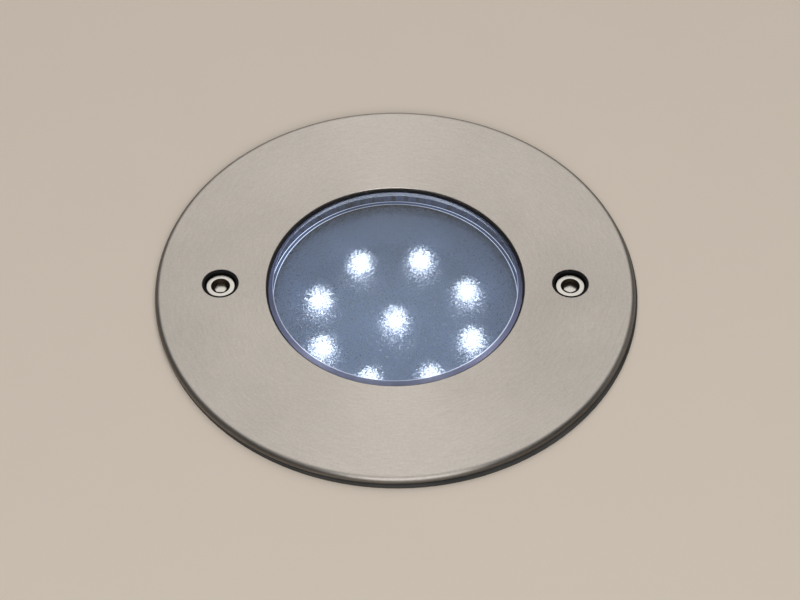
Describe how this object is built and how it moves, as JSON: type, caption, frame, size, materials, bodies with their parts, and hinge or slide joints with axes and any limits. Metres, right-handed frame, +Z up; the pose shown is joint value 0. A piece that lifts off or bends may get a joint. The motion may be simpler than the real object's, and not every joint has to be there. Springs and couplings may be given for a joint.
{
  "type": "in ground well light",
  "caption": "Round recessed ground light with a brushed steel cover plate, thick glass, a ring of small diodes, a finned pot, a cable gland and a ground sleeve.",
  "frame": {"origin": "on the light's axis at ground level, the plane of the underside of the cover plate's rim gasket", "axes": "+Z up out of the ground along the light's axis, +X towards the right-hand cover screw, -Y towards the viewer"},
  "size_m": [0.1154, 0.1154, 0.1005],
  "materials": {
    "brushed_stainless": "fine concentric satin brushing",
    "bright_screw": "polished stainless steel",
    "plain_steel": "zinc plated",
    "black_frame": "moulded, matt",
    "clear_glass": "polished above, frosted below",
    "black_rubber": "matt",
    "brass": "turned",
    "cast_aluminium": "die cast, dark grey coat",
    "reflector_grey": "satin, pale blue-grey",
    "led_epoxy": "clear epoxy, lit white",
    "white_board": "white solder mask",
    "green_board": "green solder mask",
    "capacitor_can": "sleeved can",
    "ferrite": "matt ceramic",
    "component_black": "moulded",
    "resistor_ceramic": "lacquered",
    "terminal_green": "moulded",
    "black_nylon": "moulded nylon",
    "sleeve_plastic": "moulded polypropylene"
  },
  "bodies": {
    "sleeve": {"ground_sleeve": "sleeve_plastic", "sleeve_collar": "sleeve_plastic"},
    "lamp": {"left_insert": "brass", "right_insert": "brass", "housing": "cast_aluminium", "reflector": "reflector_grey", "led_board": "white_board", "board_screws": "plain_steel", "board_spacers": "brass", "driver_board": "green_board", "capacitor": "capacitor_can", "inductor": "ferrite", "rectifier": "component_black", "resistors": "resistor_ceramic", "board_link": "component_black", "terminal_block": "terminal_green", "terminal_screws": "plain_steel", "gland_body": "black_nylon", "gland_washer": "black_rubber", "gland_locknut": "black_nylon", "gland_seal": "black_rubber", "gland_cap": "black_nylon", "flange_gasket": "black_rubber", "led_centre": "led_epoxy", "led_1": "led_epoxy", "led_2": "led_epoxy", "led_3": "led_epoxy", "led_4": "led_epoxy", "led_5": "led_epoxy", "led_6": "led_epoxy", "led_7": "led_epoxy", "led_8": "led_epoxy"},
    "lens": {"lens": "clear_glass", "lens_gasket": "black_rubber"},
    "cover": {"faceplate": "brushed_stainless", "rim_gasket": "black_rubber", "cover_frame": "black_frame", "frame_nuts": "plain_steel"},
    "left_washer": {"left_washer": "black_rubber"},
    "left_screw": {"left_screw": "bright_screw"},
    "right_washer": {"right_washer": "black_rubber"},
    "right_screw": {"right_screw": "bright_screw"}
  },
  "joints": [
    {"name": "lamp_lift", "type": "slide", "parent": "sleeve", "child": "lamp", "axis": [0, 0, 1], "range_m": [0, 0.1]},
    {"name": "cover_lift", "type": "slide", "parent": "lamp", "child": "cover", "axis": [0, 0, 1], "range_m": [0, 0.06]},
    {"name": "lens_lift", "type": "slide", "parent": "lamp", "child": "lens", "axis": [0, 0, 1], "range_m": [0, 0.03]},
    {"name": "left_rise", "type": "slide", "parent": "cover", "child": "left_washer", "axis": [0, 0, 1], "range_m": [0, 0.007]},
    {"name": "left_turn", "type": "hinge", "parent": "left_washer", "child": "left_screw", "pos_m": [-0.0419, 0, 0], "axis": [0, 0, 1], "range_deg": [0, 3600]},
    {"name": "right_rise", "type": "slide", "parent": "cover", "child": "right_washer", "axis": [0, 0, 1], "range_m": [0, 0.007]},
    {"name": "right_turn", "type": "hinge", "parent": "right_washer", "child": "right_screw", "pos_m": [0.0419, 0, 0], "axis": [0, 0, 1], "range_deg": [0, 3600]}
  ],
  "couplings": [
    {"joint": "lens_lift", "follows": "cover_lift", "ratio": 0.5},
    {"joint": "left_turn", "follows": "left_rise", "rad_per_m": 8975.9},
    {"joint": "right_turn", "follows": "right_rise", "rad_per_m": 8975.9}
  ]
}
